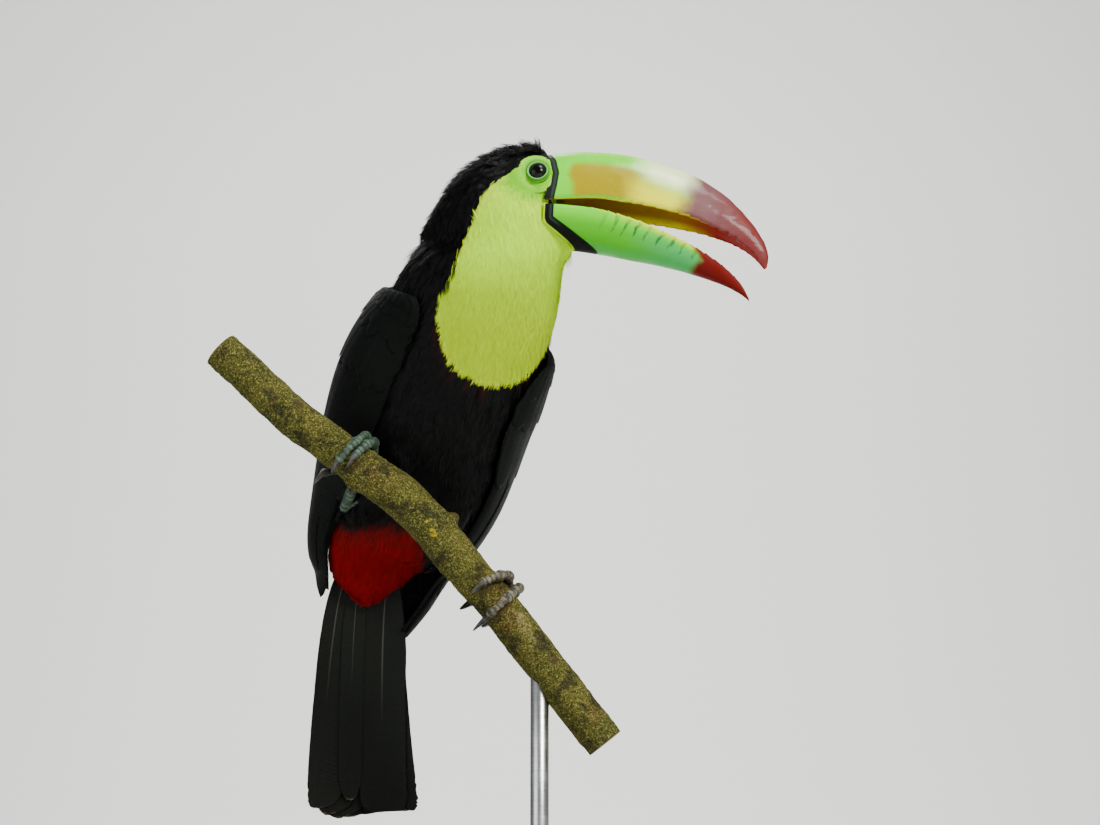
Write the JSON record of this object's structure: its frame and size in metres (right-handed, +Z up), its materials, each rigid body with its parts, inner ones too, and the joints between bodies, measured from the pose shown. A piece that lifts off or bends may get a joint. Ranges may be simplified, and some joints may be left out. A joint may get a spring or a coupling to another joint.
{
  "type": "toucan",
  "caption": "Life-size still model of a keel-billed toucan with its bill open, perched on a cut branch held by a plain stand.",
  "frame": {"origin": "centre of the underside of the stand's base", "axes": "+Z up; the trunk faces -Y and a little to +X, the bill points along +X, and the branch falls from -X to +X"},
  "size_m": [0.2732, 0.192, 0.3696],
  "materials": {
    "plumage_black": "close black feathers with a faint blue-green sheen",
    "plumage_yellow": "soft lemon-yellow throat feathers",
    "coverts_red": "deep red feathers under the tail",
    "rump_white": "creamy white feathers over the tail",
    "bill_horn": "smooth horn: green, orange and yellow with a red tip",
    "foot_skin": "scaled blue-green skin with dark claws",
    "eye_gloss": "wet dark eye",
    "bark": "mottled olive and ochre bark, pale sawn ends",
    "stand_wood": "dark oiled wood, satin",
    "stand_steel": "satin steel"
  },
  "bodies": {
    "root": {"trunk": "plumage_black", "neck": "plumage_yellow", "head": "plumage_yellow", "wing_left": "plumage_black", "wing_right": "plumage_black", "thigh_left": "plumage_black", "thigh_right": "plumage_black", "tail": "plumage_black", "coverts_under": "coverts_red", "coverts_upper": "rump_white", "bill_upper": "bill_horn", "bill_lower": "bill_horn", "eye_left": "eye_gloss", "eye_right": "eye_gloss", "leg_left": "foot_skin", "leg_right": "foot_skin", "perch": "bark", "stand_base": "stand_wood", "stand_rod": "stand_steel"}
  },
  "joints": []
}
